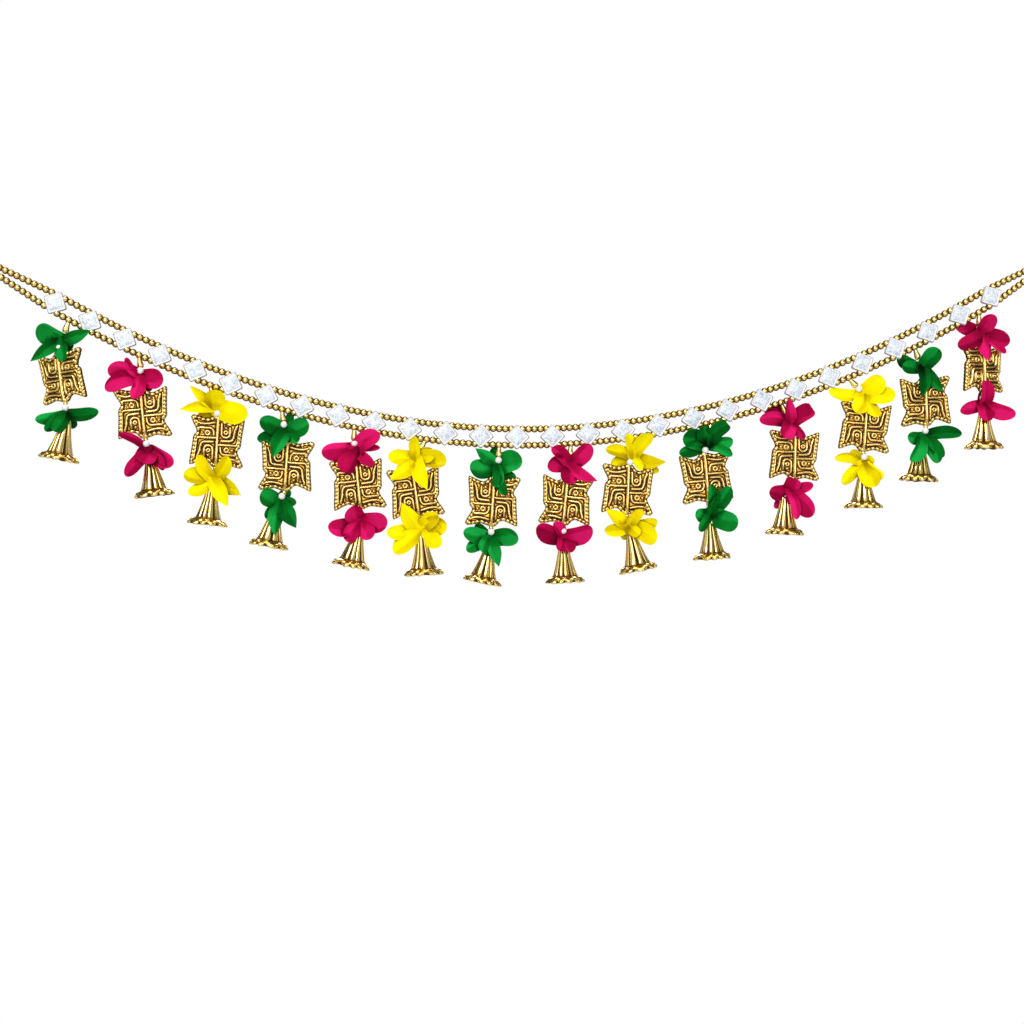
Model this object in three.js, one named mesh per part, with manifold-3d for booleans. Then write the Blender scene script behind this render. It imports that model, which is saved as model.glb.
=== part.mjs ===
// Toran: a festive door hanging of gold beads, square foil-backed stones and fourteen drops.
//
// Two parallel strands of beads hang in one arc between a cord loop at each end. Square stones, set as
// diamonds, bridge the strands. Under every second gap hangs a drop: a stem bead, a pearl, a cloth
// flower, a pearl, a puffed hooked-cross charm with a full-height rib, a small bead, a pearl, a second
// flower and a fluted bell with a flared rim.
//
// Millimetres. +X runs along the hanging, +Z is up and -Y is the front. The origin is the inside of
// the left loop's far end, where a nail or hook carries it.

import * as THREE from "three";
import { mergeVertices } from "three/addons/utils/BufferGeometryUtils.js";
import Module from "manifold-3d";

const wasm = await Module();
wasm.setup();

// The space between two pieces that are threaded one after the other.
const GAP = 0.3;

// The arc of the band, measured from its lowest point.
const ARC = {
  reach: 430, // half the width at which the drop is given
  rise: 125.6,
  power: 1.98,
};

// The stones along the arc. They sit a little closer together at the two ends.
const STONES = {
  count: 28,
  middleX: 13.6, // the row's middle lies right of the arc's lowest point
  halfRow: 430.7,
  crowding: 11.6,
  side: 16,
  thick: 5.6,
  forward: 1.1,
};

// The bead strands above and below the row's centre line.
const STRAND = {
  offset: 7.4,
  bead: 2.9, // radius over a bead
  neck: 1.4, // radius between two beads
  pitch: 5.6,
  halfPitches: 12, // from one stone's middle to the next one's
  hidden: 2, // half pitches that a stone's corner takes up
  tailLeft: 62,
  tailRight: 50,
  tailOffset: 2.9, // from the centre line where a tail ends
  endBead: 3.8,
  endTuck: 1.2,
};

const LOOP = { radius: 7, stretch: 1.5, cord: 1.2, knot: 1.9, knotSink: 1, cordSides: 5, steps: 12 };

// Lengths down a drop's thread.
const STEM = {
  length: 12,
  sides: 5,
  profile: [
    { down: -1, radius: 1.8 },
    { down: 9.4, radius: 3.1 },
    { down: 12, radius: 1.9 },
  ],
};
const PEARL = { radius: 3, facet: 2.6, sink: 0.8 }; // facet: from its middle to a side
const HUB = { radius: 3.4 };
const SPACER = { radius: 2.2, sink: 0.7 };
const CHARM = { height: 46, thick: 5, ribWide: 1.8, ribDeep: 3.7, ribSides: 6 };
const BELL = {
  below: 0.6, // from the flower's hub
  flutes: 8,
  hollowSides: 6,
  fluteDepth: 0.07,
  profile: [
    { down: 0, radius: 2.8 },
    { down: 24, radius: 7.2 },
    { down: 33.5, radius: 14.5 },
    { down: 37, radius: 17.4 },
  ],
  hollow: [
    { down: 14, radius: 0 },
    { down: 25, radius: 5.6 },
    { down: 38, radius: 15.8 },
  ],
};

// A petal's two sections, with half their width as a share of the petal's own.
const PETAL = {
  thick: 1.8,
  rootDepth: 2.4,
  rootShare: 0.45,
  sections: [
    { share: 0.45, round: 0.42, pointed: 0.5 },
    { share: 0.85, round: 0.44, pointed: 0.26 },
  ],
};

const COLOURS = {
  gold: { color: 0xc99a2e, roughness: 0.28, metalness: 0.9 },
  green: { color: 0x0a7f28, roughness: 0.85, metalness: 0 },
  magenta: { color: 0xc4145c, roughness: 0.85, metalness: 0 },
  yellow: { color: 0xf0dc00, roughness: 0.85, metalness: 0 },
  cord: { color: 0xb8902f, roughness: 0.8, metalness: 0 },
};

// One row a drop, left to right. The tilts are in degrees from plumb, + where the lower end swings
// right. turn is the charm about its own rib, + where its right edge goes back. hooks is the side to
// which the charm's top arm bends.
const DROPS = [
  { colour: "green", stem: -17, upper: -17, charm: 7, lower: 4, bell: -11, turn: -28, hooks: "right" },
  { colour: "magenta", stem: 7, upper: -2, charm: 6, lower: 14, bell: 7, turn: 0, hooks: "left" },
  { colour: "yellow", stem: 11, upper: 17, charm: -3, lower: -11, bell: -7, turn: 4, hooks: "left" },
  { colour: "green", stem: 6, upper: 15, charm: -4, lower: -28, bell: -11, turn: -3, hooks: "right" },
  { colour: "magenta", stem: 0, upper: 3, charm: 6, lower: -3, bell: -12, turn: 2, hooks: "left" },
  { colour: "yellow", stem: -35, upper: -22, charm: 8, lower: 7, bell: 4, turn: 0, hooks: "left" },
  { colour: "green", stem: 0, upper: -13, charm: -4, lower: -2, bell: -12, turn: -4, hooks: "right" },
  { colour: "magenta", stem: -2, upper: -4, charm: -6, lower: -2, bell: 3, turn: -18, hooks: "right" },
  { colour: "yellow", stem: -24, upper: -26, charm: -2, lower: 12, bell: 12, turn: 0, hooks: "left" },
  { colour: "green", stem: -18, upper: -12, charm: 5, lower: 5, bell: 4, turn: 0, hooks: "right" },
  { colour: "magenta", stem: 27, upper: 27, charm: -1, lower: -30, bell: -2, turn: 3, hooks: "left" },
  { colour: "yellow", stem: 43, upper: 33, charm: -4, lower: 0, bell: 0, turn: -3, hooks: "left" },
  { colour: "green", stem: 21, upper: 19, charm: 2, lower: -21, bell: -3, turn: 0, hooks: "right" },
  { colour: "magenta", stem: 6, upper: 6, charm: 2, lower: 2, bell: 0, turn: 22, hooks: "left" },
];

// The petals of each drop's two flowers, as [toward, reach, width, forward, pointed]. toward is in
// degrees from +X as seen from the front, the rest in millimetres; forward is how far the petal comes
// out of the plane of the hanging, - for one that lies behind. pointed is 1 for a leaf-like tip.
const TOP_FLOWERS = [
  [[150, 24, 16, 5], [-145, 32, 11, 7, 1], [20, 28, 11, 7, 1], [-85, 18, 10, 9], [-35, 10, 9, -6]],
  [
    [165, 29, 16, 5], [125, 21, 7, 6], [-5, 21, 16, 5],
    [-160, 32, 13, 6], [-105, 20, 11, 8], [-55, 14, 11, -6],
  ],
  [[140, 29, 9, 6, 1], [-175, 31, 10, 5, 1], [85, 15, 15, 8], [-15, 30, 18, 7], [-145, 19, 12, -6]],
  [
    [155, 25, 14, 5], [-165, 27, 11, -6.5], [-115, 25, 12, 10],
    [20, 22, 15, 5], [75, 18, 8, -7], [-40, 15, 11, 6],
  ],
  [
    [-175, 30, 15, 5], [-115, 23, 18, 8], [35, 27, 15, 7],
    [5, 23, 6, 4], [-40, 22, 9, 6], [-145, 23, 11, -6],
  ],
  [
    [95, 20, 9, 8], [175, 25, 13, 4], [-140, 28, 13, 7],
    [20, 18, 13, 5], [-5, 28, 15, 5], [-70, 29, 12, 8],
  ],
  [
    [140, 26, 11, 7, 1], [180, 25, 16, 5], [95, 19, 9, -8], [20, 24, 18, 5],
    [-95, 19, 10, 8], [-75, 27, 9, 8], [-30, 21, 9, -6],
  ],
  [[135, 24, 11, 7], [180, 21, 14, 5], [45, 27, 14, 7], [-95, 17, 15, 9], [-30, 26, 8, 11]],
  [
    [105, 21, 9, 8], [50, 26, 12, 7], [165, 26, 10, 5], [-155, 21, 11, -6],
    [-10, 31, 11, 5], [-60, 15, 7, 7], [-30, 29, 9, -6],
  ],
  [
    [165, 23, 17, 5], [105, 16, 14, 8], [-160, 28, 11, 6],
    [45, 26, 13, 7], [5, 24, 12, 5], [-25, 26, 9, 6],
  ],
  [
    [150, 28, 13, -7], [175, 31, 12, 5], [100, 23, 11, 8, 1],
    [35, 23, 14, 6], [-115, 16, 14, 8], [-55, 19, 7, 8],
  ],
  [[175, 33, 11, 5], [40, 24, 17, 7], [0, 30, 15, 5], [-115, 19, 14, 8], [-55, 25, 12, 7]],
  [[150, 24, 11, -7], [175, 20, 11, 4], [55, 22, 14, 7], [-95, 27, 11, 8], [-50, 29, 11, 7]],
  [
    [155, 25, 13, -7], [-155, 30, 13, 12.5], [60, 20, 14, 7],
    [-15, 27, 16, 6], [-40, 28, 8, 7], [-80, 26, 10, 8],
  ],
];
const LOW_FLOWERS = [
  [[5, 29, 11, 4], [-170, 27, 10, 5], [-140, 23, 9, 7], [-120, 18, 11, 9], [-65, 13, 10, -9]],
  [[150, 30, 7, 6], [-130, 30, 12, 9], [-110, 12, 18, 9], [-30, 26, 14, 6], [-50, 23, 8, 9]],
  [
    [120, 25, 11, 7], [170, 26, 14, 5], [-150, 25, 11, 6],
    [-60, 26, 12, 10], [-30, 27, 12, -6], [55, 25, 12, 7],
  ],
  [
    [150, 18, 15, 6], [-130, 19, 9, -8], [-95, 29, 11, 11],
    [-55, 28, 11, 10], [0, 16, 8, 4], [50, 15, 9, -7],
  ],
  [[-170, 29, 15, 5], [120, 16, 16, 8], [-125, 21, 13, 10], [0, 25, 17, 6], [-55, 18, 14, 9]],
  [
    [125, 28, 13, 7], [-175, 31, 13, 4], [-140, 32, 15, 8],
    [45, 21, 13, 7], [10, 24, 16, 5], [-40, 23, 14, 8],
  ],
  [
    [165, 26, 13, 5], [135, 19, 9, -7], [-155, 25, 11, 6],
    [-115, 15, 15, 9], [-75, 25, 9, 11], [0, 25, 15, 6],
  ],
  [[160, 27, 16, 6], [120, 17, 9, 8], [-110, 13, 11, 10], [-60, 15, 11, 10], [15, 27, 16, 11]],
  [
    [145, 28, 11, 6], [-170, 24, 11, 5], [-110, 13, 8, -9], [-45, 11, 10, 8],
    [55, 19, 9, 8], [10, 26, 12, 4], [-30, 27, 16, 8],
  ],
  [[90, 28, 8, 8], [55, 31, 13, 8], [-175, 14, 12, 4], [-125, 19, 8, 9], [-20, 27, 17, 6]],
  [
    [-175, 19, 13, 6], [70, 12, 14, 8], [15, 23, 9, 5],
    [-50, 31, 16, 11], [-80, 27, 8, 12], [-120, 19, 8, -11],
  ],
  [
    [170, 29, 9, 5], [-140, 29, 11, 8], [-70, 23, 17, 11],
    [-40, 21, 11, 8], [25, 13, 8, -6], [125, 16, 9, -7],
  ],
  [[180, 15, 11, 4], [-120, 27, 10, 10], [5, 37, 10, 5, 1], [-45, 26, 11, 8], [-65, 27, 13, 11]],
  [[95, 22, 13, 8], [-165, 25, 11, 5], [-95, 16, 14, 11], [-20, 30, 13, 6], [75, 14, 10, -7]],
];

// Half of a charm's outline, clockwise from its left notch to its right one, with x across and z up.
// The other half is this one turned half round. The top arm bends left here.
const CHARM_HALF = [
  { x: -17.7, z: 7.9 },
  { x: -22.6, z: 20.5 },
  { x: -19.5, z: 23.3 },
  { x: 3.7, z: 22.3 },
  { x: 7, z: 18 },
  { x: 22, z: 21.4 },
  { x: 21.2, z: 9.8 },
  { x: 20, z: -4.2 },
];

const Y_AXIS = new THREE.Vector3(0, 1, 0);

const radians = (degrees) => (degrees * Math.PI) / 180;

// A solid of a closed geometry, moved by a matrix where one is given.
function solidOf(geometry, matrix) {
  const shape = geometry.clone();
  shape.deleteAttribute("normal");
  shape.deleteAttribute("uv");
  if (matrix) shape.applyMatrix4(matrix);
  const merged = mergeVertices(shape, 1e-4);
  const corners = merged.index.array;
  const kept = [];
  for (let i = 0; i < corners.length; i += 3) {
    const [a, b, c] = corners.slice(i, i + 3);
    if (a !== b && b !== c && c !== a) kept.push(a, b, c);
  }
  const build = (triangles) =>
    new wasm.Manifold(
      new wasm.Mesh({
        numProp: 3,
        vertProperties: new Float32Array(merged.attributes.position.array),
        triVerts: new Uint32Array(triangles),
      }),
    );
  const made = build(kept);
  return made.volume() < 0 ? build(kept.reverse()) : made;
}

function joined(solids) {
  return solids.reduce((whole, next) => whole.add(next));
}

function meshOf(name, solid, colour) {
  const shape = solid.getMesh();
  const geometry = new THREE.BufferGeometry();
  geometry.setAttribute("position", new THREE.BufferAttribute(shape.vertProperties, 3));
  geometry.setIndex(new THREE.BufferAttribute(shape.triVerts, 1));
  geometry.computeVertexNormals();
  const mesh = new THREE.Mesh(geometry, new THREE.MeshStandardMaterial(COLOURS[colour]));
  mesh.name = name;
  return mesh;
}

// The place and slope that a piece takes in the plane of the hanging.
function placeAt(point, angle = 0) {
  const turn = new THREE.Quaternion().setFromAxisAngle(Y_AXIS, -angle);
  return new THREE.Matrix4().compose(point, turn, new THREE.Vector3(1, 1, 1));
}

// The point reached by hanging a length from another point at a tilt from plumb.
function hang(point, length, tilt) {
  const a = radians(tilt);
  return new THREE.Vector3(point.x + length * Math.sin(a), 0, point.z - length * Math.cos(a));
}

// A profile of downward distances and radii, turned about the vertical axis.
function turned(profile, sides) {
  const points = profile.map(({ down, radius }) => new THREE.Vector2(radius, -down));
  const first = points[0];
  const last = points[points.length - 1];
  if (first.x > 0) points.unshift(new THREE.Vector2(0, first.y));
  if (last.x > 0) points.push(new THREE.Vector2(0, last.y));
  return new THREE.LatheGeometry(points, sides).rotateX(Math.PI / 2);
}

function ballAt(point, radius) {
  const ball = new THREE.IcosahedronGeometry(radius, 0);
  return solidOf(ball, new THREE.Matrix4().setPosition(point));
}

// The arc and what lies along it.
const arcHeight = (x) => ARC.rise * Math.abs(x / ARC.reach) ** ARC.power;

function arcFrame(x) {
  const step = 0.5;
  const angle = Math.atan2(arcHeight(x + step) - arcHeight(x - step), 2 * step);
  return {
    x,
    z: arcHeight(x),
    angle,
    tangent: { x: Math.cos(angle), z: Math.sin(angle) },
    normal: { x: -Math.sin(angle), z: Math.cos(angle) },
  };
}

function stoneX(index) {
  const t = (2 * index) / (STONES.count - 1) - 1;
  const spread = STONES.halfRow + STONES.crowding;
  return STONES.middleX + spread * t - STONES.crowding * t ** 3;
}

// A frame on the straight tail beyond an end stone, at a distance from it.
function tailFrame(side, distance) {
  const start = arcFrame(stoneX(side < 0 ? 0 : STONES.count - 1));
  return {
    ...start,
    x: start.x + side * distance * start.tangent.x,
    z: start.z + side * distance * start.tangent.z,
  };
}

const tailLength = (side) => (side < 0 ? STRAND.tailLeft : STRAND.tailRight);

const LOOP_KNOT_AT = STRAND.endBead + GAP + LOOP.knot;
const LOOP_CENTRE_AT = LOOP_KNOT_AT + LOOP.knotSink + LOOP.radius * LOOP.stretch;
const LOOP_HANG_AT = LOOP_CENTRE_AT + LOOP.radius * LOOP.stretch - LOOP.cord;

const hangPoint = tailFrame(-1, STRAND.tailLeft + LOOP_HANG_AT);

// Moves a frame's point to the part's own frame, offset along the frame's normal.
function inPart(frame, offset = 0) {
  return new THREE.Vector3(
    frame.x + frame.normal.x * offset - hangPoint.x,
    0,
    frame.z + frame.normal.z * offset - hangPoint.z,
  );
}

// The stations of one strand from end to end, each a point and a radius. row is +1 above, -1 below.
function strandStations(row) {
  const stations = [];
  const add = (frame, offset, radius) =>
    stations.push({ at: inPart(frame, row * offset), normal: frame.normal, radius });
  const tail = (side) => {
    const beads = Math.floor(tailLength(side) / STRAND.pitch) - 1;
    const list = [];
    for (let half = 0; half <= 2 * beads; half += 1) {
      const distance = tailLength(side) - STRAND.endTuck - ((2 * beads - half) * STRAND.pitch) / 2;
      const closing = THREE.MathUtils.lerp(STRAND.offset, STRAND.tailOffset, distance / tailLength(side));
      const frame = tailFrame(side, distance);
      if (half < 2 * beads) list.push([frame, closing, half % 2 ? STRAND.bead : STRAND.neck]);
      else list.push([frame, STRAND.neck, STRAND.neck]);
    }
    return list;
  };
  tail(-1).reverse().forEach((entry) => add(...entry));
  for (let stone = 0; stone + 1 < STONES.count; stone += 1)
    for (let half = STRAND.hidden; half <= STRAND.halfPitches - STRAND.hidden; half += 1) {
      const x = THREE.MathUtils.lerp(stoneX(stone), stoneX(stone + 1), half / STRAND.halfPitches);
      add(arcFrame(x), STRAND.offset, half % 2 ? STRAND.bead : STRAND.neck);
    }
  tail(1).forEach((entry) => add(...entry));
  return stations;
}

// A four-sided tube through stations, closed at both ends.
function tubeThrough(stations) {
  const positions = [];
  for (const { at, normal, radius } of stations) {
    const across = new THREE.Vector3(normal.x, 0, normal.z).multiplyScalar(radius);
    positions.push(...at.clone().add(across).toArray(), at.x, -radius, at.z);
    positions.push(...at.clone().sub(across).toArray(), at.x, radius, at.z);
  }
  const index = [0, 1, 2, 0, 2, 3];
  for (let ring = 0; ring + 1 < stations.length; ring += 1)
    for (let side = 0; side < 4; side += 1) {
      const a = 4 * ring + side;
      const b = 4 * ring + ((side + 1) % 4);
      index.push(a, a + 4, b, b, a + 4, b + 4);
    }
  const last = 4 * (stations.length - 1);
  index.push(last, last + 2, last + 1, last, last + 3, last + 2);
  const geometry = new THREE.BufferGeometry();
  geometry.setAttribute("position", new THREE.Float32BufferAttribute(positions, 3));
  geometry.setIndex(index);
  return geometry;
}

function stoneAt(index) {
  const frame = arcFrame(stoneX(index));
  const stone = new THREE.BoxGeometry(STONES.side, STONES.thick, STONES.side);
  stone.rotateY(Math.PI / 4);
  const at = inPart(frame);
  at.y = -STONES.forward;
  return solidOf(stone, placeAt(at, frame.angle));
}

// Every joint of one drop's thread, from the lower strand down to the bell's mouth.
function chainOf(drop, number) {
  const gapX = (stoneX(2 * number) + stoneX(2 * number + 1)) / 2;
  const top = inPart(arcFrame(gapX), -STRAND.offset);
  const stemEnd = hang(top, STEM.length, drop.stem);
  const firstPearl = hang(stemEnd, PEARL.radius - PEARL.sink, drop.upper);
  const toHub = PEARL.facet + GAP + HUB.radius;
  const topFlower = hang(firstPearl, toHub, drop.upper);
  const upperPearl = hang(topFlower, toHub, drop.upper);
  const charmTop = hang(upperPearl, PEARL.radius - PEARL.sink, drop.upper);
  const charmEnd = hang(charmTop, CHARM.height, drop.charm);
  const spacer = hang(charmEnd, SPACER.radius - SPACER.sink, drop.lower);
  const toPearl = SPACER.radius - SPACER.sink + PEARL.radius - PEARL.sink;
  const lowPearl = hang(spacer, toPearl, drop.lower);
  const lowFlower = hang(lowPearl, toHub, drop.lower);
  const bellTop = hang(lowFlower, HUB.radius + BELL.below, drop.lower);
  return { top, stemEnd, firstPearl, topFlower, upperPearl, charmTop, spacer, lowPearl, lowFlower, bellTop };
}

function stemAndPearl(drop, chain) {
  const stem = solidOf(turned(STEM.profile, STEM.sides), placeAt(chain.top, radians(drop.stem)));
  return stem.add(ballAt(chain.firstPearl, PEARL.radius));
}

function endBead(side) {
  return ballAt(inPart(tailFrame(side, tailLength(side))), STRAND.endBead);
}

function makeBand(chains) {
  const stones = Array.from({ length: STONES.count }, (_, index) => stoneAt(index));
  const solid = joined([
    solidOf(tubeThrough(strandStations(1))),
    solidOf(tubeThrough(strandStations(-1))),
    ...stones,
    ...DROPS.map((drop, number) => stemAndPearl(drop, chains[number])),
    endBead(-1),
    endBead(1),
  ]);
  return meshOf("band", solid, "gold");
}

// A loop is an oval ring of cord with the knot that closes it, in line with the strands' pull.
function makeLoop(name, side) {
  const ring = new THREE.TorusGeometry(LOOP.radius, LOOP.cord, LOOP.cordSides, LOOP.steps);
  ring.scale(LOOP.stretch, 1, 1).rotateX(Math.PI / 2);
  const frame = tailFrame(side, tailLength(side) + LOOP_CENTRE_AT);
  const knot = inPart(tailFrame(side, tailLength(side) + LOOP_KNOT_AT));
  const solid = solidOf(ring, placeAt(inPart(frame), frame.angle)).add(ballAt(knot, LOOP.knot));
  return meshOf(name, solid, "cord");
}

// One cloth petal from the flower's hub: flat to the front, with its thickness as a keel behind.
function petal([toward, reach, width, forward, pointed = 0]) {
  const along = { x: Math.cos(radians(toward)), z: Math.sin(radians(toward)) };
  const limit = PETAL.rootDepth;
  const root = THREE.MathUtils.clamp(PETAL.rootShare * forward, -limit, limit);
  const depth = (share) => -(root + (forward - root) * share * (2 - share));
  const point = (share, sideways, back) => [
    reach * share * along.x - sideways * along.z,
    depth(share) + back,
    reach * share * along.z + sideways * along.x,
  ];
  const keel = PETAL.thick / 2;
  const positions = point(0, 0, 0);
  for (const section of PETAL.sections) {
    const half = width * (pointed ? section.pointed : section.round);
    for (const [sideways, back] of [[half, -keel], [-half, -keel], [0, keel]])
      positions.push(...point(section.share, sideways, back));
  }
  positions.push(...point(1, 0, 0));
  const tip = 1 + 3 * PETAL.sections.length;
  const index = [];
  for (let side = 0; side < 3; side += 1) {
    const a = 1 + side;
    const b = 1 + ((side + 1) % 3);
    index.push(0, b, a, a, b, a + 3, a + 3, b, b + 3, a + 3, b + 3, tip);
  }
  const geometry = new THREE.BufferGeometry();
  geometry.setAttribute("position", new THREE.Float32BufferAttribute(positions, 3));
  geometry.setIndex(index);
  return solidOf(geometry);
}

// A flower's hub has a corner at each end of the thread that runs through it.
function makeFlower(name, petals, colour, at, tilt) {
  const hub = solidOf(new THREE.OctahedronGeometry(HUB.radius), placeAt(new THREE.Vector3(), radians(tilt)));
  const flower = meshOf(name, joined([hub, ...petals.map(petal)]), colour);
  flower.position.copy(at);
  return flower;
}

function charmOutline(hooks) {
  const side = hooks === "left" ? 1 : -1;
  const half = CHARM_HALF.map(({ x, z }) => new THREE.Vector2(x * side, z));
  const other = half.map((p) => p.clone().negate());
  return new THREE.Shape([...half, ...other]);
}

// The charm hangs from the top of its rib; its pearls and spacer lie on the thread above and below.
function makeCharm(name, drop, chain) {
  const slab = new THREE.ExtrudeGeometry(charmOutline(drop.hooks), {
    depth: CHARM.thick,
    bevelEnabled: false,
  });
  slab.translate(0, 0, -CHARM.thick / 2).rotateX(Math.PI / 2);
  const rib = new THREE.CylinderGeometry(1, 1, CHARM.height, CHARM.ribSides);
  rib.rotateX(Math.PI / 2).rotateZ(Math.PI / CHARM.ribSides).scale(CHARM.ribWide, CHARM.ribDeep, 1);
  const body = joined([solidOf(slab), solidOf(rib)]);
  const group = new THREE.Group();
  group.position.copy(chain.charmTop);
  group.rotation.y = -radians(drop.charm);
  group.updateMatrixWorld();
  const hangDown = new THREE.Matrix4().makeTranslation(0, 0, -CHARM.height / 2);
  const turn = new THREE.Matrix4().makeRotationZ(radians(drop.turn));
  const local = (point, radius) => ballAt(group.worldToLocal(point.clone()), radius);
  const solid = joined([
    body.transform(hangDown.multiply(turn).toArray()),
    local(chain.upperPearl, PEARL.radius),
    local(chain.spacer, SPACER.radius),
    local(chain.lowPearl, PEARL.radius),
  ]);
  group.add(meshOf(name, solid, "gold"));
  return group;
}

// A bell's flutes are crests and grooves in its wall, which a plain hollow cone opens from below.
function makeBell(name, drop, chain) {
  const outside = turned(BELL.profile, 2 * BELL.flutes);
  const place = outside.attributes.position;
  for (let i = 0; i < place.count; i += 1) {
    const angle = Math.atan2(place.getY(i), place.getX(i));
    const swell = 1 + BELL.fluteDepth * Math.cos(BELL.flutes * angle);
    place.setXY(i, place.getX(i) * swell, place.getY(i) * swell);
  }
  const solid = solidOf(outside).subtract(solidOf(turned(BELL.hollow, BELL.hollowSides)));
  const bell = meshOf(name, solid, "gold");
  bell.position.copy(chain.bellTop);
  bell.rotation.y = -radians(drop.bell);
  return bell;
}

const toran = new THREE.Group();
const chains = DROPS.map(chainOf);
toran.add(makeBand(chains), makeLoop("loop_left", -1), makeLoop("loop_right", 1));
DROPS.forEach((drop, number) => {
  const tag = String(number + 1).padStart(2, "0");
  const chain = chains[number];
  toran.add(
    makeFlower("flower_top_" + tag, TOP_FLOWERS[number], drop.colour, chain.topFlower, drop.upper),
    makeCharm("charm_" + tag, drop, chain),
    makeFlower("flower_low_" + tag, LOW_FLOWERS[number], drop.colour, chain.lowFlower, drop.lower),
    makeBell("bell_" + tag, drop, chain),
  );
});

export default toran;
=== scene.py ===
"""Toran, a festive door hanging: how its beads, stones, cloth flowers, charms and bells look.

Sizes are in millimetres until a mesh is made. +X runs along the hanging, +Z is up and -Y is the front.
"""

import math
from types import SimpleNamespace as Values

import bpy
import numpy as np
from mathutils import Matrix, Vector


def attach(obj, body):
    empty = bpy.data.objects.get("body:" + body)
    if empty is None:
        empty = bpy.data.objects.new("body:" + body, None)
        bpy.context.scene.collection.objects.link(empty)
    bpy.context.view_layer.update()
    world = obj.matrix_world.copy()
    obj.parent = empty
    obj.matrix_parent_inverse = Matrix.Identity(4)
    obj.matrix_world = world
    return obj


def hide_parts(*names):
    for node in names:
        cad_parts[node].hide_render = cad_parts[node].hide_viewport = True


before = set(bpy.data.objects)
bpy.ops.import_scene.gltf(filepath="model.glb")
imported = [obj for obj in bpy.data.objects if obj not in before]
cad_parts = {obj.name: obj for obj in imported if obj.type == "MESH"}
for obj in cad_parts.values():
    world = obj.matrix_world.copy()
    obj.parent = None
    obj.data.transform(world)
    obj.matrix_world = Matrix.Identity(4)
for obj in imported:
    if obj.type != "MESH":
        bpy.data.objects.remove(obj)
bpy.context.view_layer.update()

MM = 0.001

# The arc of the band and what lies along it.
ARC = Values(reach=430, rise=125.6, power=1.98)
STONES = Values(count=28, middle_x=13.6, half_row=430.7, crowding=11.6, side=16.9, forward=1.1)
STRAND = Values(
    offset=7.4, bead=3.25, neck=2.1, pitch=5.6, half_pitches=12, hidden=2, spread=1.02,
    tail_offset=2.9, end_bead=3.8, end_tuck=1.2, past_stone=6,
)
TAIL = {-1: 62, 1: 50}
GAP = 0.3
LOOP = Values(radius=7, stretch=1.5, cord=1.2, knot=1.9, knot_sink=1)

# Lengths down a drop's thread.
STEM_LENGTH = 12
PEARL = Values(radius=3.1, reach=3, facet=2.6, sink=0.8, forward=3.2, behind=1.2)
HUB = 3.4
SPACER = Values(radius=2.3, reach=2.2, sink=0.7)
CHARM_HEIGHT = 46
BELL_BELOW = 0.6

COLOURS = ["green", "magenta", "yellow"]

# One row a drop, left to right, in degrees from plumb, + where the lower end swings right. turn is the
# charm about its own rib, and hooks is the side to which its top arm bends. The last column names the
# pearls that lie in front of the petals: first, upper or low.
DROP_COLUMNS = ("stem", "upper", "charm", "lower", "bell", "turn", "hooks", "shown")
DROPS = [dict(zip(DROP_COLUMNS, row)) for row in [
    (-17, -17, 7, 4, -11, -28, "right", "upper low"),
    (7, -2, 6, 14, 7, 0, "left", "first low"),
    (11, 17, -3, -11, -7, 4, "left", "upper"),
    (6, 15, -4, -28, -11, -3, "right", "first low"),
    (0, 3, 6, -3, -12, 2, "left", "first"),
    (-35, -22, 8, 7, 4, 0, "left", ""),
    (0, -13, -4, -2, -12, -4, "right", "first low"),
    (-2, -4, -6, -2, 3, -18, "right", "low"),
    (-24, -26, -2, 12, 12, 0, "left", "upper"),
    (-18, -12, 5, 5, 4, 0, "right", "upper"),
    (27, 27, -1, -30, -2, 3, "left", ""),
    (43, 33, -4, 0, 0, -3, "left", "first low"),
    (21, 19, 2, -21, -3, 0, "right", "low"),
    (6, 6, 2, 2, 0, 22, "left", ""),
]]

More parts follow.
